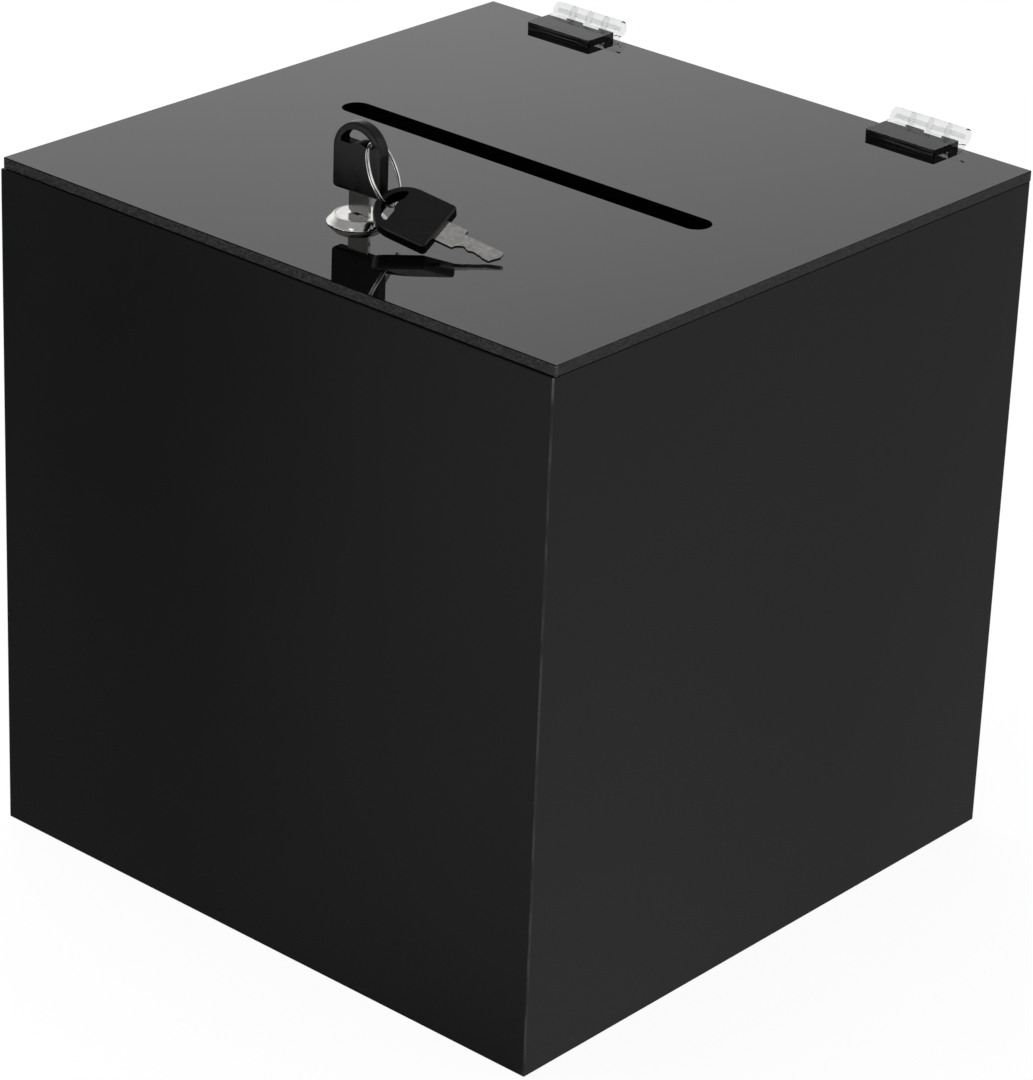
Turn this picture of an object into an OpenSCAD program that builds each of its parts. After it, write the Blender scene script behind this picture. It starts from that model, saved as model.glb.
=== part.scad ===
// Lockable donation box: five bonded sheet walls and base, a slotted lid on two
// moulded hinges, a cam lock in the lid, and two keys on a split ring.
// Front is -Y, where the lid locks. The origin is the centre of the underside.

/* [Box] */
// Outside width of the box
body_w = 305; // [240:1:400]
// Outside depth of the box
body_d = 305; // [240:1:400]
// Height of the walls
wall_h = 306; // [150:1:400]
// Thickness of the acrylic sheet
sheet_t = 4.8; // [3:0.1:6]
// Width of the small flat that eases each sheet edge
edge_ease = 0.3; // [0.1:0.05:0.6]

/* [Lid] */
// Gap between the top of the walls and the lid
lid_gap = 0.3; // [0.2:0.05:0.6]
// How far the lid stops short of the front face
lid_inset_front = 0.8; // [0:0.1:2]
// How far the lid stops short of the back face
lid_inset_back = 0.3; // [0.2:0.1:1]
// How much narrower the lid is than the box
lid_w_trim = 0.4; // [0:0.1:2]
// How far the lid sits to the right of the box's middle
lid_shift = 0.7; // [0:0.1:1]
// Length of the slot for notes and coins
slot_len = 202; // [120:1:220]
// Width of the slot
slot_w = 13.5; // [6:0.5:20]

/* [Hinges] */
// Length of a hinge along its pin
hinge_len = 38.2; // [30:0.2:50]
// Distance from the box's side to a hinge's middle
hinge_inset = 56; // [30:1:80]
// Height of the pin's axis over the face that a leaf is bonded to
pin_rise = 3.8; // [3.4:0.1:5]
// Thickness of a hinge leaf
leaf_t = 3.2; // [2.5:0.1:3.4]
// Reach of a leaf from the pin's axis to its far edge
leaf_reach = 21.9; // [16:0.1:28]
// Distance from the pin's axis to the near edge of the leaf's plate
leaf_root = 4.7; // [4.5:0.1:7]
// How far the plate stops short of the end knuckles on each side
leaf_trim = 0.7; // [0:0.1:1.5]
// Radius of the leaf's rounded corners
leaf_corner_r = 0.8; // [0.5:0.1:4]
// Diameter of the hinge pin
hinge_pin_d = 2; // [1.5:0.1:3]
// Running clearance around the hinge pin
pin_clear = 0.05; // [0.02:0.01:0.1]
// Gap between neighbouring knuckles
knuckle_gap = 0.3; // [0.2:0.05:0.6]
// Number of knuckles in a hinge, shared by its two leaves
knuckles = 4; // [4:2:6]

/* [Lock] */
// Distance from the lid's front edge to the lock's axis
lock_setback = 53.9; // [48:0.1:60]
// How far the lock's axis lies to the right of the box's middle
lock_shift = -0.4; // [-3:0.1:3]
// Diameter of the lock's face flange
flange_d = 25.6; // [24:0.1:28]
// Height of the lock's face above the lid
face_h = 3.5; // [3:0.1:6]
// Diameter of the flat on top of the lock's face
face_d = 20.1; // [19:0.1:22]
// Diameter of the lock's threaded barrel
barrel_d = 18.4; // [17.5:0.1:19]
// Distance across the two flats on the barrel
barrel_flats = 16.4; // [16:0.1:17]
// Length of the barrel below the lid's top
barrel_len = 17.5; // [16.5:0.5:20]
// Diameter of the turning plug
plug_d = 13; // [12.8:0.1:13.4]
// Diameter of the plug's face, set into the top of the housing
plug_face_d = 17.8; // [15:0.1:18]
// Running clearance between the plug and the barrel
plug_clear = 0.06; // [0.03:0.01:0.1]
// How far the nut and its washer stand out from the barrel
nut_wall = 1.8; // [1.2:0.1:3.5]
// Thickness of the nut
nut_t = 3; // [2:0.25:5]
// Thickness of the washer above the nut
nut_washer_t = 0.8; // [0.5:0.1:1.5]
// Reach of the cam from the lock's axis to its tip
cam_reach = 45; // [42:0.5:47]
// Width of the cam's arm
cam_w = 14; // [10:0.5:16]
// Thickness of the cam
cam_t = 2.5; // [1.5:0.1:3]
// Gap between the cam and the keeper when locked
keeper_gap = 0.4; // [0.2:0.1:1]
// Length of the keeper block along the front wall
keeper_len = 40; // [20:1:80]
// Depth of the keeper block from the front wall
keeper_d = 12; // [9:0.5:15]
// Height of the keeper block
keeper_h = 8; // [5:0.5:10]

/* [Keys] */
// Width of a key's moulded head
head_w = 25.4; // [22:0.2:28]
// Length of a key's moulded head
head_len = 30; // [28:0.5:36]
// Thickness of a key's moulded head
head_t = 5.8; // [4.6:0.1:6.5]
// Radius that rounds the edges of a key's head
head_round = 1.2; // [0.5:0.1:1.6]
// Radius of the two lower corners of a key's head
head_corner_r = 2; // [1:0.1:4]
// Width of the head's arch round the ring's hole
arch_w = 3.1; // [2.4:0.1:4]
// Thickness of the key's blade
blade_t = 1.5; // [1.4:0.1:2.2]
// Length of the blade's wide neck between head and shoulder
neck_len = 9.3; // [7:0.1:12]
// Length of the cut part of the blade
cut_len = 18.4; // [17:0.2:22]
// How far the key's middle lies off the lock's axis
key_offset = 1; // [0:0.1:2]
// Angle of the keyway from the box's width
key_angle = 2.5; // [0:0.5:6]
// Width of the split ring's wire seen from its side
ring_wire_w = 1.3; // [1:0.1:1.6]
// Thickness of the split ring's wire along its axis
ring_wire_t = 0.8; // [0.7:0.05:1.1]
// Middle diameter of the split ring
ring_d = 26.6; // [26.2:0.1:27]

/* [Hidden] */
$fa = 6;
$fs = 0.5;
over = 1;          // how far a cutting tool runs past what it cuts
bond = 0.05;       // film of cement or slack between pieces that don't move apart

// Lid
lid_bottom = wall_h + lid_gap;
lid_top = lid_bottom + sheet_t;
lid_w = body_w - lid_w_trim;
lid_front = -body_d / 2 + lid_inset_front;
lid_back = body_d / 2 - lid_inset_back;
lid_d = lid_back - lid_front;
lid_mid_y = (lid_front + lid_back) / 2;

// Hinges: the pin's axis stands equally far off the lid's top and the back
hinge_y = body_d / 2 + pin_rise;
hinge_z = lid_top + pin_rise;
knuckle_r = pin_rise - bond;
knuckle_pitch = hinge_len / knuckles;
hinge_x = body_w / 2 - hinge_inset;

// Lock, measured down from the lid's top
lock_x = lock_shift;
lock_y = lid_front + lock_setback;
plug_face_t = 1.2;
rim_h = 0.5;
nut_r = barrel_d / 2 + nut_wall;
nut_top = sheet_t + nut_washer_t;
stop_t = 0.8;
stop_r = barrel_d / 2 - 0.2;
stop_inner_r = stop_r - 2.2;
lug_angle = 40;
turn_angle = 90;
plug_len = barrel_len + bond;
tail_w = 7;
cam_top = plug_len + stop_t;
tail_len = stop_t + cam_t - 0.2;
washer_r = 4.6;
washer_t = 0.9;
screw_r = 2;
screw_head_r = 4.2;
screw_head_h = 2.2;
wafer_t = 1.2;
wafer_pitch = 2.5;
wafer_top = 1.4;
wafer_slack = 0.1;
wafer_w = plug_d - 2.2;
wafer_d = plug_d / 2 - 0.4;

// Keys, in a key's own frame: x across the blade, y along it towards the head's
// arch, z through its thickness, with the origin at the foot of the head
arch_r = head_w / 2;
arch_y = head_len - arch_r;
hole_r = arch_r - arch_w;
hole_y = arch_y + 3.1;
neck_x = [-5.4, 5.4];
cut_x = [-3.9, 3];
cut_depths = [1.4, 0.5, 1, 0.7, 0.1];
ward_x = [-2.4, 0.8];
ward_depth = 1.1;
tang_len = 9;
key_seat = 0.1;
key_z = lid_top + face_h + key_seat + neck_len;
key_tip = -neck_len - cut_len;
keyway_bottom = key_z + key_tip - 0.8 - lid_top;
screw_seat = cam_top + cam_t + washer_t;
screw_len = screw_seat + keyway_bottom - 0.7;

// Where the spare key lies and how the ring hangs, both measured from the point
// where the lock's axis meets the top of the lid
ring_at = [12.26, 1.44, 23.19];
ring_turn = [0, 65.4, 25.4];
spare_at = [43.39, 2.05, 7.51];
spare_turn = [13, -25, 96.6];
ring_pitch = ring_wire_t + bond;
ring_start = 15;    // where on the circle the wire begins
ring_cross = 30;   // part of a turn in which the wire steps across, degrees
ring_step = 10;    // degrees between the rings of points along the wire

// ---------- Shapes that several pieces share ----------

// Rectangle with its corners cut off at 45 degrees
module eased_rect(w, h, c) {
    polygon([[-w / 2 + c, -h / 2], [w / 2 - c, -h / 2], [w / 2, -h / 2 + c],
             [w / 2, h / 2 - c], [w / 2 - c, h / 2], [-w / 2 + c, h / 2],
             [-w / 2, h / 2 - c], [-w / 2, -h / 2 + c]]);
}

// Block standing on z = 0 with all its edges eased
module eased_block(w, d, h, c) {
    translate([0, 0, h / 2])
    intersection() {
        linear_extrude(h, center = true) eased_rect(w, d, c);
        rotate([90, 0, 0]) linear_extrude(d, center = true) eased_rect(w, h, c);
        rotate([90, 0, 90]) linear_extrude(w, center = true) eased_rect(d, h, c);
    }
}

module tube(r, bore_r, h) {
    difference() {
        cylinder(r = r, h = h);
        translate([0, 0, -over]) cylinder(r = bore_r, h = h + 2 * over);
    }
}

// Bar along z with a square section, centred on the axis
module square_bar(w, h) {
    translate([-w / 2, -w / 2, 0]) cube([w, w, h]);
}

// ---------- Box ----------

// One wall: its ends are mitred at 45 degrees, and run is the outside length
module wall(run, depth) {
    reach = run / 2 + over;
    inner = run / 2 - sheet_t;
    intersection() {
        children();
        translate([0, 0, -over])
        linear_extrude(wall_h + 2 * over)
        polygon([[-reach, -depth / 2 - over], [reach, -depth / 2 - over],
                 [inner, -depth / 2 + sheet_t], [-inner, -depth / 2 + sheet_t]]);
    }
}

module base_panel() {
    color("#1b1b1c")
    translate([-body_w / 2 + sheet_t, -body_d / 2 + sheet_t, 0])
    cube([body_w - 2 * sheet_t, body_d - 2 * sheet_t, sheet_t]);
}

module front_panel() {
    color("#1c1c1e")
    wall(body_w, body_d) eased_block(body_w, body_d, wall_h, edge_ease);
}

module back_panel() {
    color("#1c1c1e")
    rotate(180)
    wall(body_w, body_d) eased_block(body_w, body_d, wall_h, edge_ease);
}

module right_panel() {
    color("#2a2a2c")
    rotate(90)
    wall(body_d, body_w) eased_block(body_d, body_w, wall_h, edge_ease);
}

module left_panel() {
    color("#2a2a2c")
    rotate(-90)
    wall(body_d, body_w) eased_block(body_d, body_w, wall_h, edge_ease);
}

// Block bonded inside the front wall, which the turned cam catches under
module keeper_block() {
    color("#1c1c1e")
    translate([lock_x, -body_d / 2 + sheet_t + keeper_d / 2, lid_top - cam_top + keeper_gap])
    eased_block(keeper_len, keeper_d, keeper_h, edge_ease);
}

// ---------- Lid ----------

// Stadium outline along x, for the slot
module slot_cutter(length, width, h) {
    translate([-length / 2 + width / 2, -width / 2, 0]) cube([length - width, width, h]);
    for (side = [-1, 1])
        translate([side * (length - width) / 2, 0, 0]) cylinder(d = width, h = h);
}

// Round barrel outline with two flats facing front and back
module flatted_barrel(d, flats, h) {
    intersection() {
        cylinder(d = d, h = h);
        translate([-d, -flats / 2, 0]) cube([2 * d, flats, h]);
    }
}

module lid_panel() {
    color("#5d5d5f")
    difference() {
        translate([lid_shift, lid_mid_y, lid_bottom]) eased_block(lid_w, lid_d, sheet_t, edge_ease);
        translate([lid_shift, lid_mid_y, lid_bottom - over])
        slot_cutter(slot_len, slot_w, sheet_t + 2 * over);
        translate([lock_x, lock_y, lid_bottom - over])
        flatted_barrel(barrel_d + 2 * bond, barrel_flats + 2 * bond, sheet_t + 2 * over);
    }
}

// ---------- Hinges ----------

// Plate of a leaf with its far corners rounded, its bonded face on z = -pin_rise
module leaf_plate() {
    w = hinge_len - 2 * leaf_trim;
    r = leaf_corner_r;
    translate([0, 0, -pin_rise]) {
        translate([-w / 2, -leaf_reach + r, 0]) cube([w, leaf_reach - leaf_root - r, leaf_t]);
        translate([-w / 2 + r, -leaf_reach, 0]) cube([w - 2 * r, leaf_reach - leaf_root, leaf_t]);
        for (side = [-1, 1])
            translate([side * (w / 2 - r), -leaf_reach + r, 0]) cylinder(r = r, h = leaf_t);
    }
}

// One moulded leaf, pin axis along x, plate towards -y. It has every second
// knuckle, and the same moulding turned end for end fills the gaps between them.
module hinge_leaf() {
    web_bottom = 0.2 - knuckle_r;
    web_top = leaf_t - pin_rise;
    knuckle_w = knuckle_pitch - knuckle_gap;
    difference() {
        union() {
            leaf_plate();
            for (i = [0 : 2 : knuckles - 1])
                translate([(i - knuckles / 2 + 0.5) * knuckle_pitch, 0, 0]) {
                    rotate([0, 90, 0]) cylinder(r = knuckle_r, h = knuckle_w, center = true);
                    translate([-knuckle_w / 2, -leaf_root - over, web_bottom])
                    cube([knuckle_w, leaf_root + over, web_top - web_bottom]);
                }
        }
        rotate([0, 90, 0])
        cylinder(d = hinge_pin_d + 2 * pin_clear, h = hinge_len + 2 * over, center = true);
    }
}

module place_hinge(side) {
    translate([side * hinge_x, hinge_y, hinge_z]) children();
}

module lid_leaf(side) {
    color("gainsboro", 0.5)
    place_hinge(side) hinge_leaf();
}

module back_leaf(side) {
    color("gainsboro", 0.5)
    place_hinge(side) rotate([-90, 0, 0]) rotate(180) hinge_leaf();
}

module hinge_pin(side) {
    color("silver")
    place_hinge(side) rotate([0, 90, 0])
    cylinder(d = hinge_pin_d, h = hinge_len - 2 * knuckle_gap, center = true);
}

// ---------- Lock ----------

module place_lock() {
    translate([lock_x, lock_y, lid_top]) children();
}

// What turns with the key
module place_plug() {
    place_lock() rotate(key_angle) children();
}

module lock_housing() {
    r = flange_d / 2;
    bore_r = plug_d / 2 + plug_clear;
    face_bore_r = plug_face_d / 2 + plug_clear;
    color("lightgray")
    place_lock() {
        difference() {
            rotate_extrude()
            polygon([[face_bore_r, face_h], [face_d / 2 - 0.3, face_h], [face_d / 2, face_h - 0.15],
                     [r, rim_h], [r, 0],
                     [barrel_d / 2, 0], [barrel_d / 2, -barrel_len], [bore_r, -barrel_len],
                     [bore_r, face_h - plug_face_t], [face_bore_r, face_h - plug_face_t]]);
            for (side = [0, 180])
                rotate(side) translate([-barrel_d, barrel_flats / 2, -barrel_len - over])
                cube([2 * barrel_d, barrel_d, barrel_len + over]);
        }
        // Lug that stops the plug at both ends of its turn
        rotate(key_angle - lug_angle / 2)
        rotate_extrude(angle = lug_angle)
        translate([stop_inner_r + 0.2, -barrel_len - stop_t])
        square([stop_r - stop_inner_r - 0.2, stop_t + 0.5]);
    }
}

module nut_washer() {
    color("silver")
    place_lock() translate([0, 0, -nut_top]) tube(nut_r, barrel_d / 2 + bond, nut_washer_t);
}

module lock_nut() {
    color("silver")
    place_lock() translate([0, 0, -nut_top - nut_t])
    difference() {
        cylinder(r = nut_r / cos(30), h = nut_t, $fn = 6);
        translate([0, 0, -over]) cylinder(r = barrel_d / 2 + bond, h = nut_t + 2 * over);
    }
}

// Box across the blade, from the bottom at z to the top, cut for the key or a wafer
module blade_space(slack, bottom, top) {
    translate([key_offset + cut_x[0] - slack, -blade_t / 2 - slack, bottom])
    cube([cut_x[1] - cut_x[0] + 2 * slack, blade_t + 2 * slack, top - bottom]);
}

function wafer_z(i) = wafer_top - wafer_t - i * wafer_pitch;

module lock_plug() {
    color("silver")
    place_plug()
    difference() {
        union() {
            translate([0, 0, face_h - plug_face_t + bond])
            cylinder(d = plug_face_d, h = plug_face_t - bond);
            translate([0, 0, -plug_len]) cylinder(d = plug_d, h = plug_len + face_h - over);
            translate([0, 0, -plug_len - tail_len]) square_bar(tail_w, tail_len + over);
        }
        blade_space(0.12, keyway_bottom, face_h + over);
        translate([key_offset + ward_x[0], -blade_t / 2 - ward_depth, keyway_bottom])
        cube([ward_x[1] - ward_x[0], ward_depth, face_h + over - keyway_bottom]);
        for (i = [0 : len(cut_depths) - 1])
            translate([-wafer_w / 2 - wafer_slack, -wafer_d / 2 - wafer_slack, wafer_z(i) - wafer_slack])
            cube([wafer_w + 2 * wafer_slack, wafer_d + 2 * wafer_slack, wafer_t + 2 * wafer_slack]);
        translate([0, 0, -screw_seat - over]) cylinder(r = screw_r + bond, h = screw_len + over + 0.3);
    }
}

// Flat brass wafers, each with a window that the blade passes through
module lock_wafers() {
    color("goldenrod")
    place_plug()
    for (i = [0 : len(cut_depths) - 1])
        difference() {
            translate([-wafer_w / 2, -wafer_d / 2, wafer_z(i)]) cube([wafer_w, wafer_d, wafer_t]);
            blade_space(0.25, wafer_z(i) - over, wafer_z(i) + wafer_t + over);
        }
}

// Disc on the plug's square tail. The housing's lug runs in its notch, which is
// one lug longer than the plug's turn.
module stop_washer() {
    play = 1;
    color("darkgray")
    place_plug() translate([0, 0, -plug_len - stop_t])
    difference() {
        cylinder(r = stop_r, h = stop_t);
        translate([0, 0, -over]) square_bar(tail_w + 2 * bond, stop_t + 2 * over);
        rotate(-lug_angle / 2 - play)
        translate([0, 0, -over])
        rotate_extrude(angle = lug_angle + turn_angle + 2 * play)
        translate([stop_inner_r, 0]) square([stop_r, stop_t + 2 * over]);
    }
}

// Flat arm that swings under the keeper, with a round hub on the square tail
module lock_cam() {
    hub_r = barrel_d / 2;
    tip_r = cam_w / 2;
    color("silver")
    place_plug() translate([0, 0, -cam_top - cam_t])
    difference() {
        union() {
            cylinder(r = hub_r, h = cam_t);
            translate([0, -cam_w / 2, 0]) cube([cam_reach - tip_r, cam_w, cam_t]);
            intersection() {
                translate([cam_reach - 2 * tip_r, 0, 0]) cylinder(r = 2 * tip_r, h = cam_t);
                translate([cam_reach - 2 * tip_r, -cam_w / 2, 0]) cube([2 * tip_r, cam_w, cam_t]);
            }
        }
        translate([0, 0, -over]) square_bar(tail_w + 2 * bond, cam_t + 2 * over);
    }
}

module cam_washer() {
    color("silver")
    place_plug() translate([0, 0, -screw_seat]) tube(washer_r, screw_r + 2 * bond, washer_t);
}

module cam_screw() {
    color("silver")
    place_plug() {
        translate([0, 0, -screw_seat]) cylinder(r = screw_r, h = screw_len);
        translate([0, 0, -screw_seat - screw_head_h])
        cylinder(r1 = screw_head_r - 0.6, r2 = screw_head_r, h = screw_head_h);
    }
}

// ---------- Keys and ring ----------

module place_key() {
    translate([lock_x, lock_y, key_z]) rotate(key_angle) translate([key_offset, 0, 0])
    rotate([90, 0, 0]) children();
}

module place_spare() {
    place_lock() translate(spare_at) rotate(spare_turn) children();
}

module place_ring() {
    place_lock() translate(ring_at) rotate(ring_turn) children();
}

// Height of the middle of wafer i in the key's own frame, when the key is home
function cut_y(i) = lid_top + wafer_z(i) + wafer_t / 2 - key_z;

// Edge of the blade: a flat for each wafer from the shoulder to the tip, with the
// slopes between them left by the cutter
function cuts() = [for (i = [0 : len(cut_depths) - 1]) for (step = [0.5, -0.5])
                   [cut_x[0] + cut_depths[i], cut_y(i) + step]];

module blade() {
    groove_x = 0.8;
    groove_w = 1;
    groove_depth = 0.4;
    difference() {
        linear_extrude(blade_t, center = true)
        polygon(concat([[neck_x[0], tang_len], [neck_x[0], 1 - neck_len], [cut_x[0], -neck_len]],
                       cuts(),
                       [[cut_x[0], key_tip + 3.2], [cut_x[0] + 4, key_tip],
                        [cut_x[1] - 0.6, key_tip], [cut_x[1], key_tip + 0.6],
                        [cut_x[1], -neck_len], [neck_x[1], -neck_len], [neck_x[1], tang_len]]));
        for (side = [0, 1])
            mirror([0, 0, side])
            translate([groove_x, key_tip - over, blade_t / 2 - groove_depth])
            cube([groove_w, cut_len + 1 + over, groove_depth + over]);
    }
}

// Outline of the moulded head, drawn in by inset: a round arch, straight sides
// and rounded lower corners
module head_outline(inset) {
    r = max(head_corner_r - inset, 0.3);
    translate([0, arch_y]) circle(arch_r - inset, $fn = 48);
    translate([-arch_r + inset, arch_y / 2]) square([head_w - 2 * inset, arch_y / 2]);
    translate([-arch_r + inset + r, inset]) square([head_w - 2 * (inset + r), arch_y / 2]);
    for (side = [-1, 1])
        translate([side * (arch_r - inset - r), inset + r]) circle(r, $fn = 24);
}

// Crescent for the ring: a round top along the arch and a lower edge with a low
// hump a little off the middle
module ring_hole() {
    lobe_r = 0.9;
    hump_r = 6.3;
    hump_rise = 1.2;
    offset(r = lobe_r, $fn = 24) offset(delta = -lobe_r)
    difference() {
        intersection() {
            translate([0, arch_y]) circle(hole_r, $fn = 64);
            translate([-head_w, hole_y]) square([2 * head_w, head_w]);
        }
        translate([1.1, hole_y + hump_rise - hump_r]) circle(hump_r, $fn = 48);
    }
}

module head() {
    difference() {
        hull()
            for (a = [0 : 22.5 : 90])
                linear_extrude(head_t - 2 * head_round * (1 - sin(a)), center = true)
                head_outline(head_round * (1 - cos(a)));
        linear_extrude(head_t + 2 * over, center = true) ring_hole();
        translate([neck_x[0] - bond, -over, -blade_t / 2 - bond])
        cube([neck_x[1] - neck_x[0] + 2 * bond, tang_len + over + bond, blade_t + 2 * bond]);
    }
}

// Split ring: a flat wire wound twice round, stepping across where both turns
// are free to pass each other
function ring_height(a) = a < 360 - ring_cross ? 0 :
                          a < 360 ? (a - 360 + ring_cross) / ring_cross : 1;
wire_section = [for (p = [[-1, -0.4], [-0.5, -1], [0.5, -1], [1, -0.4],
                          [1, 0.4], [0.5, 1], [-0.5, 1], [-1, 0.4]])
                [p[0] * ring_wire_w / 2, p[1] * ring_wire_t / 2]];
ring_angles = [0 : ring_step : 720 - ring_cross];

module split_ring() {
    sides = len(wire_section);
    points = [for (a = ring_angles) for (p = wire_section)
              [(ring_d / 2 + p[0]) * cos(a + ring_start),
               (ring_d / 2 + p[0]) * sin(a + ring_start),
               p[1] + (ring_height(a) - 0.5) * ring_pitch]];
    last = len(points) - sides;
    faces = concat(
        [[for (j = [sides - 1 : -1 : 0]) j]],
        [for (i = [0 : sides : last - sides]) for (j = [0 : sides - 1])
         [i + j, i + (j + 1) % sides, i + sides + (j + 1) % sides, i + sides + j]],
        [[for (j = [0 : sides - 1]) last + j]]);
    polyhedron(points, faces);
}

module key_blade() {
    color("lightgray") place_key() blade();
}

module key_head() {
    color("#202022") place_key() head();
}

module spare_key_blade() {
    color("lightgray") place_spare() blade();
}

module spare_key_head() {
    color("#202022") place_spare() head();
}

module key_ring() {
    color("silver") place_ring() split_ring();
}

base_panel();
front_panel();
back_panel();
left_panel();
right_panel();
keeper_block();
lid_panel();
lid_leaf(-1);  // left_hinge_lid_leaf
back_leaf(-1);  // left_hinge_back_leaf
hinge_pin(-1);  // left_hinge_pin
lid_leaf(1);  // right_hinge_lid_leaf
back_leaf(1);  // right_hinge_back_leaf
hinge_pin(1);  // right_hinge_pin
lock_housing();
nut_washer();
lock_nut();
lock_plug();
lock_wafers();
stop_washer();
lock_cam();
cam_washer();
cam_screw();
key_blade();
key_head();
spare_key_blade();
spare_key_head();
key_ring();
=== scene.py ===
import math

import bpy
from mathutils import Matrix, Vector


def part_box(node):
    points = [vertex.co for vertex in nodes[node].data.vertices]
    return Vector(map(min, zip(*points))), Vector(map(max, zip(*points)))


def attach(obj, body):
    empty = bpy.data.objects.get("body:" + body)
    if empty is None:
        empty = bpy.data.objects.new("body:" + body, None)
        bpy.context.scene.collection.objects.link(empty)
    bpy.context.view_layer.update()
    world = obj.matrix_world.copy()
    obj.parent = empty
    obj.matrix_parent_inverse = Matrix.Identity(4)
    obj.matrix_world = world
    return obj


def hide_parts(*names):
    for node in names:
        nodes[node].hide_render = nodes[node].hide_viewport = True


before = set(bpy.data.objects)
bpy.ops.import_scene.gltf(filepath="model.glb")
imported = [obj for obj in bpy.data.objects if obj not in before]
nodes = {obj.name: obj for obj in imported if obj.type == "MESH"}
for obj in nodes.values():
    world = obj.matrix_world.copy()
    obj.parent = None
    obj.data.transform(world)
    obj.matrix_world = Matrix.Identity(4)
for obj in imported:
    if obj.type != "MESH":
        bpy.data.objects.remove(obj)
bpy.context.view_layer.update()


# ---------- Walls and base ----------
# Five sheets of black acrylic, mitred at the upright corners and bonded with solvent
# cement. The faces are satin from handling and the sawn corner edges are scraped by
# hand; where they catch the light, a thin broken line is painted on as a highlight.

def new_material(name, **values):
    """A material whose Principled BSDF has the given values on its own sockets."""
    mat = bpy.data.materials.new(name)
    mat.use_nodes = True
    shader = mat.node_tree.nodes["Principled BSDF"]
    for socket, value in values.items():
        shader.inputs[socket.replace("_", " ")].default_value = value
    return mat, shader


def add_node(tree, kind, **settings):
    """A node of the given kind, with its settings and input values."""
    node = tree.nodes.new(kind)
    for key, value in settings.items():
        if key in node.inputs:
            node.inputs[key].default_value = value
        else:
            setattr(node, key, value)
    return node


def feed(tree, socket, value):
    """Links another node's output to a socket, or sets the socket to a plain value."""
    if isinstance(value, bpy.types.NodeSocket):
        tree.links.new(value, socket)
    else:
        socket.default_value = value


def math_node(tree, operation, *values):
    """The output of a Math node: each value is another node's output or a number."""
    node = add_node(tree, "ShaderNodeMath", operation=operation)
    for socket, value in zip(node.inputs, values):
        feed(tree, socket, value)
    return node.outputs[0]


def ramp_between(tree, value, low, high, out_low, out_high):
    """Maps value from low..high to out_low..out_high, smoothly and clamped."""
    node = add_node(tree, "ShaderNodeMapRange", interpolation_type="SMOOTHSTEP")
    tree.links.new(value, node.inputs["Value"])
    for socket, number in (("From Min", low), ("From Max", high),
                           ("To Min", out_low), ("To Max", out_high)):
        node.inputs[socket].default_value = number
    return node.outputs["Result"]


def mixed_colour(tree, mask, plain, marked):
    """Mixes two colours by a mask."""
    node = add_node(tree, "ShaderNodeMix", data_type="RGBA")
    feed(tree, node.inputs["Factor"], mask)
    feed(tree, node.inputs[6], plain)
    feed(tree, node.inputs[7], marked)
    return node.outputs[2]


def group_with(name, inputs, outputs):
    """An empty shader node group: inputs are (name, default), outputs are names."""
    group = bpy.data.node_groups.new(name, "ShaderNodeTree")
    for label, default in inputs:
        kind = "NodeSocketVector" if default is None else "NodeSocketFloat"
        socket = group.interface.new_socket(label, in_out="INPUT", socket_type=kind)
        if default is not None:
            socket.default_value = default
    for label in outputs:
        group.interface.new_socket(label, in_out="OUTPUT", socket_type="NodeSocketFloat")
    return group, group.nodes.new("NodeGroupInput"), group.nodes.new("NodeGroupOutput")


def handling_group():
    """Soft broad haze and fine rub marks, as masks from 0 to 1, and a faint relief."""
    group, start, end = group_with(
        "handling", (("Place", None), ("Haze Scale", 6.0), ("Rub Scale", 900.0)),
        ("Haze", "Rubs", "Relief"))
    haze = add_node(group, "ShaderNodeTexNoise", Detail=3.0, Roughness=0.55)
    rubs = add_node(group, "ShaderNodeTexNoise", Detail=2.0, Roughness=0.6)
    for noise, scale in ((haze, "Haze Scale"), (rubs, "Rub Scale")):
        group.links.new(start.outputs["Place"], noise.inputs["Vector"])
        group.links.new(start.outputs[scale], noise.inputs["Scale"])
    hazed = ramp_between(group, haze.outputs["Fac"], 0.3, 0.7, 0.0, 1.0)
    rubbed = ramp_between(group, rubs.outputs["Fac"], 0.35, 0.75, 0.0, 1.0)
    for value, label in ((hazed, "Haze"), (rubbed, "Rubs"), (rubs.outputs["Fac"], "Relief")):
        group.links.new(value, end.inputs[label])
    return group


handling = handling_group()


def worn_material(name, haze_scale, rub_scale, plain, hazed, **values):
    """A material in two close tones mixed by haze; also gives the masks of its wear."""
    mat, shader = new_material(name, **values)
    tree = mat.node_tree
    wear = tree.nodes.new("ShaderNodeGroup")
    wear.node_tree = handling
    place = tree.nodes.new("ShaderNodeTexCoord")
    tree.links.new(place.outputs["Object"], wear.inputs["Place"])
    wear.inputs["Haze Scale"].default_value = haze_scale
    wear.inputs["Rub Scale"].default_value = rub_scale
    masks = wear.outputs
    tree.links.new(mixed_colour(tree, masks["Haze"], plain, hazed), shader.inputs["Base Color"])
    return mat, shader, masks


def roughness_from(tree, shader, mask, spread, least):
    """Roughness that grows from least by the spread as the mask goes to 1."""
    tree.links.new(math_node(tree, "MULTIPLY_ADD", mask, spread, least), shader.inputs["Roughness"])


def split_place(tree):
    """The Object coordinates as a vector and as three numbers."""
    place = tree.nodes.new("ShaderNodeTexCoord")
    parts = add_node(tree, "ShaderNodeSeparateXYZ")
    tree.links.new(place.outputs["Object"], parts.inputs["Vector"])
    return place.outputs["Object"], parts.outputs


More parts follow.
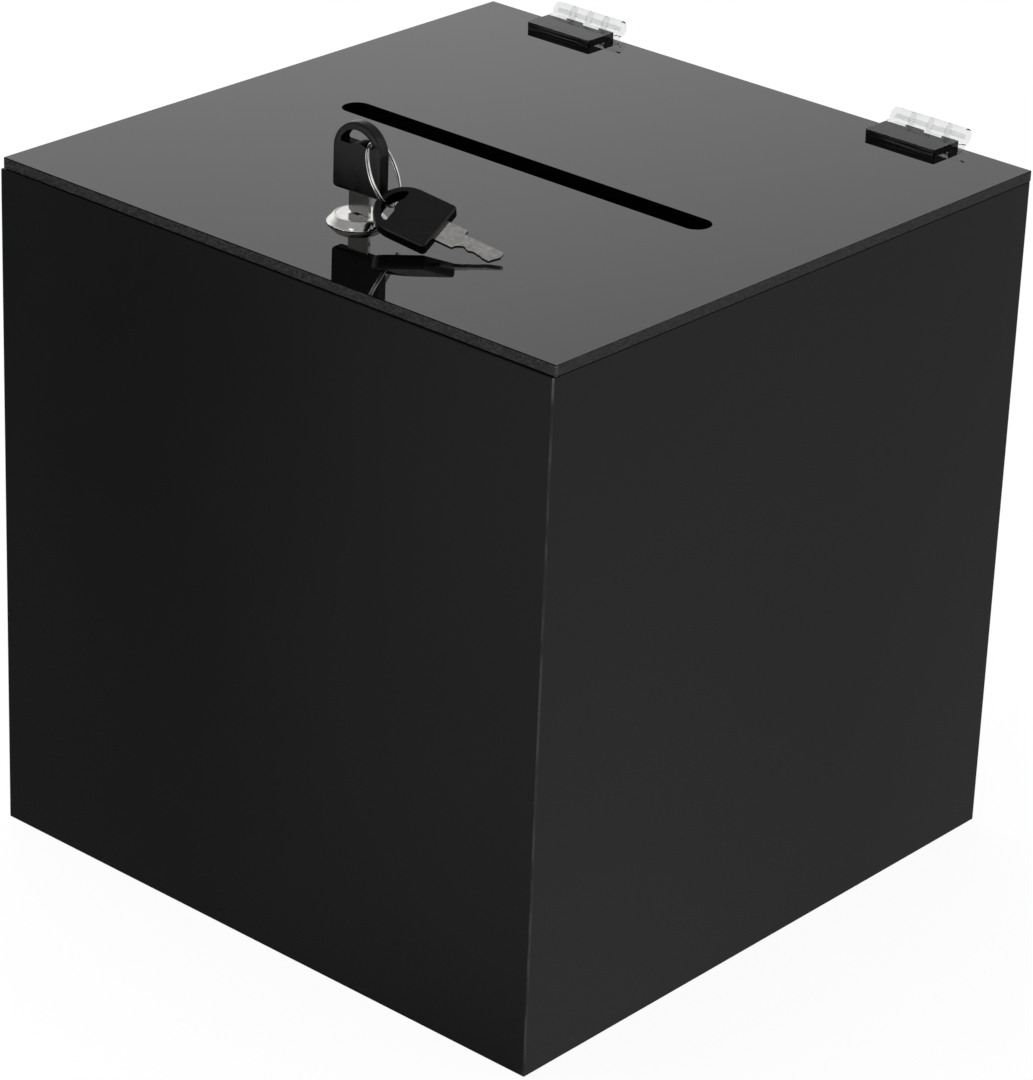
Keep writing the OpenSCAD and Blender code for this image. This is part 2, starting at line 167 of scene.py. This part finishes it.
def grain(tree, place, scale, detail, roughness):
    """Noise with a scale of its own along each axis."""
    stretch = add_node(tree, "ShaderNodeMapping", Scale=scale)
    tree.links.new(place, stretch.inputs["Vector"])
    noise = add_node(tree, "ShaderNodeTexNoise", Scale=1.0, Detail=detail, Roughness=roughness)
    tree.links.new(stretch.outputs["Vector"], noise.inputs["Vector"])
    return noise.outputs["Fac"]


def wall_acrylic():
    """Satin black sheet; a painted highlight runs up the scraped corners, brighter at the top."""
    mat, shader, wear = worn_material(
        "wall_acrylic", 5.0, 700.0, (0.0048, 0.0048, 0.0053, 1.0), (0.0062, 0.0062, 0.0068, 1.0),
        IOR=1.49, Specular_IOR_Level=0.1)
    tree = mat.node_tree
    faces = shader.inputs["Base Color"].links[0].from_socket
    place, parts = split_place(tree)
    low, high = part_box("front_panel")
    corner = high.x - low.y
    reach = math_node(tree, "ADD", math_node(tree, "ABSOLUTE", parts["X"]),
                      math_node(tree, "ABSOLUTE", parts["Y"]))
    edge = ramp_between(tree, reach, corner - 0.0006, corner - 0.0004, 0.0, 1.0)
    uneven = grain(tree, place, (260.0, 260.0, 45.0), 4.0, 0.6)
    # Painted highlight: a thin lighter line on the scraped corners, painted brighter near the top.
    scraped = math_node(tree, "MULTIPLY", edge, ramp_between(tree, uneven, 0.4, 0.6, 0.35, 1.0))
    top_highlight = ramp_between(tree, parts["Z"], high.z - 0.012, high.z - 0.007, 0.0, 1.0)
    corner_highlight_tone = mixed_colour(tree, top_highlight, (0.05, 0.05, 0.052, 1.0), (0.2, 0.2, 0.205, 1.0))
    tree.links.new(mixed_colour(tree, scraped, faces, corner_highlight_tone), shader.inputs["Base Color"])
    satin = math_node(tree, "MULTIPLY_ADD", wear["Haze"], 0.08, 0.2)
    satin = math_node(tree, "MULTIPLY_ADD", wear["Rubs"], 0.05, satin)
    tree.links.new(math_node(tree, "MAXIMUM", satin, math_node(tree, "MULTIPLY", edge, 0.5)),
                   shader.inputs["Roughness"])
    return mat


def dress(mat, *names):
    """Gives CAD nodes a material."""
    for name in names:
        mesh = nodes[name].data
        mesh.materials.clear()
        mesh.materials.append(mat)


dress(wall_acrylic(), "base_panel", "front_panel", "back_panel", "left_panel", "right_panel",
      "keeper_block")


# ---------- Lid ----------
# One sheet of the same acrylic with a routed slot and a hole for the lock. Its faces
# have kept the cast sheet's mirror gloss; its four edges are sawn and the arrises scraped.

def only_active(piece):
    """Makes a piece the only selected one, and the active one."""
    bpy.ops.object.select_all(action="DESELECT")
    bpy.context.view_layer.objects.active = piece
    piece.select_set(True)


def copy_of(node, name):
    """A copy of a CAD node's mesh as a new piece, its loose triangles merged."""
    piece = nodes[node].copy()
    piece.data = nodes[node].data.copy()
    piece.name = name
    piece.data.name = name
    piece.data.materials.clear()
    bpy.context.collection.objects.link(piece)
    only_active(piece)
    bpy.ops.object.mode_set(mode="EDIT")
    bpy.ops.mesh.select_all(action="SELECT")
    bpy.ops.mesh.remove_doubles(threshold=0.000002)
    bpy.ops.object.mode_set(mode="OBJECT")
    return piece


def apply_all(piece):
    """Applies every modifier of a piece."""
    only_active(piece)
    for modifier in list(piece.modifiers):
        bpy.ops.object.modifier_apply(modifier=modifier.name)


def broken_edges(piece, width, segments, angle):
    """Takes the sharpness off every edge that turns by more than the angle."""
    arris = piece.modifiers.new("arris", "BEVEL")
    arris.width, arris.segments = width, segments
    arris.limit_method, arris.angle_limit = "ANGLE", math.radians(angle)
    apply_all(piece)


def in_place_of(piece, node, body):
    """Lets a new piece stand for a CAD node, on its body."""
    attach(piece, body)
    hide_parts(node)


def relief_from(tree, shader, height, distance):
    """Gives a shader a relief of the given depth."""
    relief = add_node(tree, "ShaderNodeBump", Distance=distance)
    tree.links.new(height, relief.inputs["Height"])
    tree.links.new(relief.outputs["Normal"], shader.inputs["Normal"])


def gloss_acrylic():
    """The polished faces, with hardly any haze."""
    mat, shader, wear = worn_material(
        "gloss_acrylic", 9.0, 260.0, (0.0010, 0.0010, 0.0012, 1.0), (0.0018, 0.0018, 0.0021, 1.0),
        IOR=1.49, Specular_IOR_Level=0.5)
    roughness_from(mat.node_tree, shader, wear["Haze"], 0.012, 0.012)
    return mat


def sawn_acrylic():
    """The sawn edges: fine pale grain, and a painted highlight at the front right corner."""
    mat, shader = new_material("sawn_acrylic", IOR=1.49, Specular_IOR_Level=0.12)
    tree = mat.node_tree
    place, parts = split_place(tree)
    marks = grain(tree, place, (800.0, 800.0, 1500.0), 3.0, 0.65)
    sawn = ramp_between(tree, marks, 0.35, 0.7, 0.0, 1.0)
    low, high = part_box("lid_panel")
    tip = high.x - low.y
    reach = math_node(tree, "SUBTRACT", parts["X"], parts["Y"])
    # Painted highlight: the sawn edge painted lighter at the front right corner.
    corner = ramp_between(tree, reach, tip - 0.0014, tip - 0.0004, 0.0, 1.0)
    corner = math_node(tree, "MULTIPLY", corner, sawn)
    plain = mixed_colour(tree, sawn, (0.008, 0.008, 0.0083, 1.0), (0.042, 0.042, 0.043, 1.0))
    tree.links.new(mixed_colour(tree, corner, plain, (0.11, 0.11, 0.113, 1.0)),
                   shader.inputs["Base Color"])
    roughness_from(tree, shader, sawn, 0.15, 0.4)
    relief_from(tree, shader, marks, 0.00005)
    return mat


def shaded_routed_acrylic():
    """The routed walls of the slot and the lock's hole, painted dark as shade, hardly reflecting.
    """
    # Painted shade: darker and far less reflective than the sawn edges of the same sheet.
    mat, shader, wear = worn_material(
        "shaded_routed_acrylic", 90.0, 900.0, (0.0006, 0.0006, 0.0006, 1.0), (0.0012, 0.0012, 0.0012, 1.0),
        IOR=1.49, Specular_IOR_Level=0.02)
    roughness_from(mat.node_tree, shader, wear["Rubs"], 0.15, 0.45)
    return mat


def lid_sheet():
    """The lid with scraped arrises, its faces sorted into polished, sawn and routed."""
    lid = copy_of("lid_panel", "lid_sheet")
    broken_edges(lid, 0.0003, 1, 50)
    polished, sawn, routed = 0, 1, 2
    for mat in (gloss_acrylic(), sawn_acrylic(), shaded_routed_acrylic()):
        lid.data.materials.append(mat)
    low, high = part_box("lid_panel")
    rim = 0.001
    for face in lid.data.polygons:
        spot, facing = face.center, face.normal
        outer = max(abs(spot.x) - high.x, low.y - spot.y, spot.y - high.y) > -rim
        # The scraped front arris gets the same painted shade as the routed faces.
        front_arris = facing.y < -0.3 and facing.z > 0.3
        if abs(facing.z) > 0.9:
            face.material_index = polished
        else:
            face.material_index = sawn if outer and not front_arris else routed
    in_place_of(lid, "lid_panel", "lid")


lid_sheet()


# ---------- Hinges ----------
# Clear acrylic hinges, moulded in one pattern for both leaves and bonded to the lid
# and the back sheet, each pair turning on a clear rod pressed into the knuckles.

def clear_acrylic(name, bending, blur, tint):
    """Clear moulded acrylic; haze makes it a little darker and less sharp."""
    mat, shader, wear = worn_material(
        name, 160.0, 1500.0, (tint, tint * 1.005, tint * 1.005, 1.0),
        (tint * 0.95, tint * 0.96, tint * 0.96, 1.0),
        IOR=bending, Metallic=0.0, Transmission_Weight=1.0)
    roughness_from(mat.node_tree, shader, wear["Haze"], 0.03, blur)
    return mat


def moulded_end():
    """The leaf's square end, dark against the sheet, with fine lines from the mould."""
    mat, shader = new_material("moulded_end", IOR=1.49, Specular_IOR_Level=0.35)
    tree = mat.node_tree
    place, _ = split_place(tree)
    lines = grain(tree, place, (40.0, 40.0, 2600.0), 2.0, 0.6)
    streak = ramp_between(tree, lines, 0.45, 0.7, 0.0, 1.0)
    dark, pale = (0.004, 0.004, 0.0042, 1.0), (0.07, 0.07, 0.072, 1.0)
    tree.links.new(mixed_colour(tree, streak, dark, pale), shader.inputs["Base Color"])
    roughness_from(tree, shader, streak, 0.2, 0.25)
    return mat


def cement_film():
    """The bonded face, where the black sheet shows through the hinge."""
    mat, _, _ = worn_material(
        "cement_film", 300.0, 1200.0, (0.002, 0.002, 0.0021, 1.0), (0.0027, 0.0027, 0.0028, 1.0),
        Specular_IOR_Level=0.0, Roughness=0.6)
    return mat


leaf_clear = clear_acrylic("leaf_acrylic", 1.3, 0.015, 0.94)
knuckle_clear = clear_acrylic("knuckle_acrylic", 1.1, 0.03, 0.84)
hinge_finishes = (leaf_clear, cement_film(), knuckle_clear, moulded_end())
plate_face, bonded_face, knuckle_face, end_face = range(4)


def even_shading(piece, smooth):
    """Smooth curved faces, split at edges sharper than an angle, the flat ones left flat."""
    bpy.ops.object.shade_smooth_by_angle(angle=math.radians(smooth))
    even = piece.modifiers.new("even", "WEIGHTED_NORMAL")
    even.keep_sharp = True
    apply_all(piece)


def hinge_leaf(node, name, body, towards_sheet, end_of_sheet):
    """A moulded leaf with softened edges; it is bonded where it lies against the sheet."""
    leaf = copy_of(node, name)
    broken_edges(leaf, 0.00015, 2, 50)
    towards, end = Vector(towards_sheet), Vector(end_of_sheet)
    past_end = end.normalized()
    bpy.ops.object.mode_set(mode="EDIT")
    bpy.ops.mesh.select_all(action="SELECT")
    bpy.ops.mesh.bisect(plane_co=end, plane_no=past_end)
    bpy.ops.object.mode_set(mode="OBJECT")
    for mat in hinge_finishes:
        leaf.data.materials.append(mat)
    seat = max(towards.dot(vertex.co) for vertex in leaf.data.vertices)
    film = 0.0002
    for face in leaf.data.polygons:
        spot, facing = face.center, face.normal
        if past_end.dot(spot - end) > 0:
            face.material_index = knuckle_face
        elif facing.dot(towards) > 0.2 and towards.dot(spot) > seat - film:
            face.material_index = bonded_face
        else:
            face.material_index = end_face if facing.dot(past_end) < -0.9 else plate_face
    even_shading(leaf, 32)
    in_place_of(leaf, node, body)


sheet_low, sheet_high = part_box("lid_panel")
for side in ("left", "right"):
    hinge_leaf(side + "_hinge_lid_leaf", side + "_lid_leaf", "lid",
               (0.0, 0.0, -1.0), (0.0, sheet_high.y, 0.0))
    hinge_leaf(side + "_hinge_back_leaf", side + "_back_leaf", "box",
               (0.0, -1.0, 0.0), (0.0, 0.0, sheet_low.z))
dress(clear_acrylic("pin_acrylic", 1.04, 0.02, 0.97), "left_hinge_pin", "right_hinge_pin")


# ---------- Lock ----------
# A cam lock: a nickel plated die-cast housing held through the lid by a nut and its
# washer, a plug with brass wafers, and a zinc plated stop washer, cam and screw.

def bright_metal(name, colour, duller, smooth, rough, scale):
    """Plated metal: a base tone, slightly duller in patches, with fine scratches."""
    mat, shader, wear = worn_material(name, scale, scale * 9.0, colour, duller, Metallic=1.0)
    tree = mat.node_tree
    patchy = math_node(tree, "MULTIPLY_ADD", wear["Haze"], (rough - smooth) * 0.6, smooth)
    roughness_from(tree, shader, wear["Rubs"], (rough - smooth) * 0.4, patchy)
    return mat


def bright_nickel(name):
    """Polished nickel plate."""
    return bright_metal(name, (0.83, 0.82, 0.80, 1.0), (0.76, 0.75, 0.73, 1.0), 0.05, 0.14, 300.0)


def threaded_nickel():
    """Bright nickel whose barrel under the lid carries a fine thread, not cut on its flats."""
    mat = bright_nickel("threaded_nickel")
    tree = mat.node_tree
    _, parts = split_place(tree)
    low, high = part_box("lock_housing")
    middle = (low.y + high.y) / 2
    pitch = 0.001
    wave = math_node(tree, "SINE", math_node(tree, "MULTIPLY", parts["Z"], 2 * math.pi / pitch))
    below = ramp_between(tree, parts["Z"], sheet_low.z - 0.001, sheet_low.z - 0.0002, 1.0, 0.0)
    across = math_node(tree, "ABSOLUTE", math_node(tree, "SUBTRACT", parts["Y"], middle))
    off_flat = ramp_between(tree, across, 0.0079, 0.0081, 1.0, 0.0)
    cut = math_node(tree, "MULTIPLY", wave, math_node(tree, "MULTIPLY", below, off_flat))
    relief_from(tree, tree.nodes["Principled BSDF"], cut, 0.0002)
    return mat


def finished_piece(node, name, body, mat, arris, smooth):
    """A metal or moulded piece with broken edges and smooth curved faces."""
    piece = copy_of(node, name)
    if arris:
        broken_edges(piece, arris, 2, 40)
    even_shading(piece, smooth)
    piece.data.materials.append(mat)
    in_place_of(piece, node, body)
    return piece


nickel = bright_nickel("bright_nickel")
zinc = bright_metal("zinc_plate", (0.66, 0.67, 0.69, 1.0), (0.52, 0.53, 0.55, 1.0),
                    0.24, 0.42, 250.0)
brass = bright_metal("stamped_brass", (0.80, 0.60, 0.26, 1.0), (0.62, 0.45, 0.18, 1.0),
                     0.2, 0.38, 300.0)
finished_piece("lock_housing", "cam_lock_housing", "lid", threaded_nickel(), 0.0, 30)
finished_piece("lock_plug", "cam_lock_plug", "plug", nickel, 0.0, 30)
dress(zinc, "nut_washer", "lock_nut", "stop_washer", "lock_cam", "cam_washer", "cam_screw")
dress(brass, "lock_wafers")


# ---------- Keys ----------
# Two flat keys: blades of nickel plated brass, stamped and cut, and heads of satin
# black plastic moulded round them, each with a crescent hole for the ring.

def moulded_black(name, bending, shine):
    """Black plastic with the faint texture of its mould."""
    mat, shader, wear = worn_material(
        name, 260.0, 2600.0, (0.0008, 0.0008, 0.0009, 1.0), (0.0017, 0.0017, 0.0019, 1.0),
        IOR=bending, Specular_IOR_Level=shine)
    roughness_from(mat.node_tree, shader, wear["Haze"], 0.1, 0.26)
    relief_from(mat.node_tree, shader, wear["Relief"], 0.00001)
    return mat


head_plastic = moulded_black("moulded_black", 1.5, 0.33)
# Painted shade: a copy of the head's plastic that hardly reflects, for the ring hole's walls.
hole_shade_plastic = moulded_black("hole_shade_black", 1.05, 0.5)
hole_drop, hole_reach = 0.0065, 0.011


def moulded_head(node, name, body, up, through):
    """A key head, satin outside; its ring hole's walls hardly reflect, as painted shade."""
    head = finished_piece(node, name, body, head_plastic, 0.00025, 35)
    head.data.materials.append(hole_shade_plastic)
    hole_wall = 1
    up, through = Vector(up), Vector(through)
    spots = [vertex.co for vertex in head.data.vertices]
    middle = up * (max(up.dot(spot) for spot in spots) - hole_drop)
    for way in (up.cross(through), through):
        reach = [way.dot(spot) for spot in spots]
        middle += way * (min(reach) + max(reach)) / 2
    for face in head.data.polygons:
        inward = middle - face.center
        faces_in = abs(face.normal.dot(through)) < 0.4 and face.normal.dot(inward) > 0
        if faces_in and inward.length < hole_reach:
            face.material_index = hole_wall


moulded_head("key_head", "moulded_head", "key", (0.0, 0.0, 1.0), (0.0436, -0.999, 0.0))
moulded_head("spare_key_head", "spare_moulded_head", "spare_key",
             (-0.957, -0.206, 0.204), (0.271, -0.383, 0.883))
key_nickel = bright_metal("key_nickel", (0.74, 0.73, 0.71, 1.0), (0.56, 0.55, 0.53, 1.0),
                          0.1, 0.24, 500.0)
finished_piece("key_blade", "cut_blade", "key", key_nickel, 0.00012, 20)
finished_piece("spare_key_blade", "spare_cut_blade", "spare_key",
               key_nickel, 0.00018, 20)


# ---------- Ring ----------
# A split ring of flat nickel plated spring wire, wound twice round, which joins the
# two keys through the holes in their heads.

def along(tree, vector, axis):
    """How far a vector reaches along an axis."""
    reach = add_node(tree, "ShaderNodeVectorMath", operation="DOT_PRODUCT")
    tree.links.new(vector, reach.inputs[0])
    reach.inputs[1].default_value = axis
    return reach.outputs["Value"]


def ring_nickel(middle, axis):
    """Nickel with a painted shade line where the two turns of wire lie against each other."""
    mat = bright_metal("ring_nickel", (0.95, 0.94, 0.92, 1.0), (0.88, 0.87, 0.85, 1.0),
                       0.08, 0.18, 300.0)
    tree = mat.node_tree
    shader = tree.nodes["Principled BSDF"]
    wire = shader.inputs["Base Color"].links[0].from_socket
    place, _ = split_place(tree)
    level = math_node(tree, "SUBTRACT", along(tree, place, axis), middle)
    # Painted shade: dark where the two turns of wire meet.
    crevice_shade = ramp_between(tree, math_node(tree, "ABSOLUTE", level), 0.00011, 0.0002, 1.0, 0.0)
    tree.links.new(mixed_colour(tree, crevice_shade, wire, (0.015, 0.015, 0.015, 1.0)),
                   shader.inputs["Base Color"])
    return mat


def split_ring():
    """The ring's wire, smoothed round its turns."""
    ring = copy_of("key_ring", "split_ring_wire")
    bpy.ops.object.mode_set(mode="EDIT")
    bpy.ops.mesh.tris_convert_to_quads(face_threshold=math.radians(40),
                                       shape_threshold=math.radians(80))
    bpy.ops.object.mode_set(mode="OBJECT")
    smooth = ring.modifiers.new("smooth", "SUBSURF")
    smooth.levels = smooth.render_levels = 2
    apply_all(ring)
    bpy.ops.object.shade_smooth()
    axis = Vector((0.8213, 0.3900, 0.4163))
    levels = [axis.dot(vertex.co) for vertex in ring.data.vertices]
    ring.data.materials.append(ring_nickel((min(levels) + max(levels)) / 2, axis))
    in_place_of(ring, "key_ring", "ring")


split_ring()


# ---------- Studio ----------
# A white table and surround, soft light from above and from the left, and the camera.
# Gloss sees the surround fall off overhead and to the right, as in a small light tent.

half_side = 0.1525
white = (1.0, 1.0, 1.0, 1.0)


def mixed_value(tree, factor, first, second):
    """Mixes two values, each another node's output or a number."""
    node = add_node(tree, "ShaderNodeMix", data_type="FLOAT")
    feed(tree, node.inputs["Factor"], factor)
    feed(tree, node.inputs[2], first)
    feed(tree, node.inputs[3], second)
    return node.outputs[0]


def table_sheen(tree):
    """How bright gloss sees the table: one falloff in front of the box, another beside it."""
    _, parts = split_place(tree)
    x, y = parts["X"], parts["Y"]
    across = math_node(tree, "MULTIPLY", math_node(tree, "SUBTRACT", x, half_side), -0.75)
    leftward = math_node(tree, "ADD", across,
                         math_node(tree, "MULTIPLY_ADD", y, 0.66, 0.66 * half_side))
    at_wall = 0.38
    faded = ramp_between(tree, leftward, -0.03, 0.2, 1.25, 0.25)
    away = math_node(tree, "MULTIPLY_ADD", y, -2.0, -2.0 * half_side)
    away = math_node(tree, "POWER", math_node(tree, "MAXIMUM", away, 0.0), 0.6)
    away = math_node(tree, "MINIMUM", away, 1.0)
    front = math_node(tree, "MULTIPLY_ADD", away,
                      math_node(tree, "SUBTRACT", faded, at_wall), at_wall)
    further = math_node(tree, "MULTIPLY_ADD", y, 0.616, math_node(tree, "MULTIPLY", x, -0.787))
    beyond = ramp_between(tree, further, -0.23, -0.07, 1.0, 0.74)
    in_front = math_node(tree, "MULTIPLY", ramp_between(tree, y, -0.1, 0.15, 1.0, 0.0),
                         ramp_between(tree, x, 0.145, half_side, 1.0, 0.0))
    return mixed_value(tree, in_front, beyond, front)


def table():
    """The white table: it keeps the object's shadow and is white to the camera."""
    bpy.ops.object.select_all(action="DESELECT")
    bpy.ops.mesh.primitive_plane_add(size=12.0, location=(0.0, 0.0, -0.0002))
    top = bpy.context.object
    top.name = "table_top"
    mat = bpy.data.materials.new("white_table")
    mat.use_nodes = True
    tree = mat.node_tree
    tree.nodes.clear()
    rays = tree.nodes.new("ShaderNodeLightPath").outputs
    surface = add_node(tree, "ShaderNodeBsdfDiffuse", Color=(0.86, 0.86, 0.86, 1.0)).outputs[0]
    for seen, strength in ((math_node(tree, "MULTIPLY", rays["Is Camera Ray"], 0.9), 1.03),
                           (rays["Is Glossy Ray"], table_sheen(tree)),
                           (rays["Is Transmission Ray"], 1.0)):
        glow = add_node(tree, "ShaderNodeEmission", Color=white)
        feed(tree, glow.inputs["Strength"], strength)
        mix = tree.nodes.new("ShaderNodeMixShader")
        tree.links.new(seen, mix.inputs["Fac"])
        tree.links.new(surface, mix.inputs[1])
        tree.links.new(glow.outputs[0], mix.inputs[2])
        surface = mix.outputs[0]
    out = tree.nodes.new("ShaderNodeOutputMaterial")
    tree.links.new(surface, out.inputs["Surface"])
    top.data.materials.append(mat)


def tent_gloss(tree):
    """How bright gloss sees the tent: dim above, right and low left, with two windows."""
    way = tree.nodes.new("ShaderNodeTexCoord").outputs["Generated"]
    parts = add_node(tree, "ShaderNodeSeparateXYZ")
    tree.links.new(way, parts.inputs["Vector"])
    x, y, z = parts.outputs
    brightest, least = 1.03, 0.33
    overhead = math_node(tree, "MULTIPLY", math_node(tree, "SUBTRACT", z, 0.317), 2.29)
    right = math_node(tree, "MULTIPLY_ADD", x, 0.743 * 1.22,
                      math_node(tree, "MULTIPLY", y, 0.669 * 1.22))
    falling = math_node(tree, "ADD", math_node(tree, "MAXIMUM", overhead, 0.0),
                        math_node(tree, "MAXIMUM", right, 0.0))
    gloss = math_node(tree, "MAXIMUM", math_node(tree, "SUBTRACT", brightest, falling), least)
    dark = ramp_between(tree, along(tree, way, (-0.743, -0.669, 0.0)), 0.84, 0.92, 1.0, 0.2)
    gloss = math_node(tree, "MULTIPLY", gloss, dark)
    windows = (((0.119, -0.565, 0.816), 0.985, 0.995, 1.3),
               ((0.7646, 0.4415, 0.4695), 0.86, 0.94, 1.0))
    for aim, edge, full, strength in windows:
        window = ramp_between(tree, along(tree, way, aim), edge, full, 0.0, strength)
        gloss = math_node(tree, "MAXIMUM", gloss, window)
    return gloss


def surround():
    """The white tent: plain white to the camera and through glass, dimmer as a light."""
    world = bpy.data.worlds.new("studio")
    bpy.context.scene.world = world
    world.use_nodes = True
    tree = world.node_tree
    tree.nodes.clear()
    rays = tree.nodes.new("ShaderNodeLightPath").outputs
    plain = math_node(tree, "MAXIMUM", rays["Is Camera Ray"], rays["Is Transmission Ray"])
    level = mixed_value(tree, rays["Is Glossy Ray"], 0.7, tent_gloss(tree))
    light = add_node(tree, "ShaderNodeBackground", Color=white)
    tree.links.new(math_node(tree, "MAXIMUM", plain, level), light.inputs["Strength"])
    out = tree.nodes.new("ShaderNodeOutputWorld")
    tree.links.new(light.outputs[0], out.inputs["Surface"])


def softbox(name, place, aim, size, watts):
    """A rectangular lamp, left out of reflections."""
    bpy.ops.object.select_all(action="DESELECT")
    bpy.ops.object.light_add(type="AREA", location=place)
    lamp = bpy.context.object
    lamp.name = name
    lamp.data.shape = "RECTANGLE"
    lamp.data.size, lamp.data.size_y = size
    lamp.data.energy = watts
    lamp.visible_glossy = False
    lamp.rotation_euler = (Vector(aim) - Vector(place)).to_track_quat("-Z", "Y").to_euler()


table()
surround()
softbox("softbox_over", (-0.5, 0.2, 1.9), (0.0, 0.0, 0.3), (1.4, 1.4), 14.0)
softbox("softbox_left", (-1.7, -1.3, 1.2), (0.0, 0.0, 0.25), (1.0, 1.2), 8.0)

bpy.ops.object.select_all(action="DESELECT")
bpy.ops.object.camera_add(location=(1.1236, -1.2999, 0.9472))
camera = bpy.context.object
camera.rotation_euler = [math.radians(a) for a in (65.317, -1.959, 41.832)]
camera.data.sensor_width = 36.0
camera.data.lens = 145.88
camera.data.shift_x, camera.data.shift_y = 0.0147, -0.0406
camera.data.clip_start, camera.data.clip_end = 0.05, 30.0
bpy.context.scene.camera = camera
bpy.context.scene.view_settings.view_transform = "Standard"
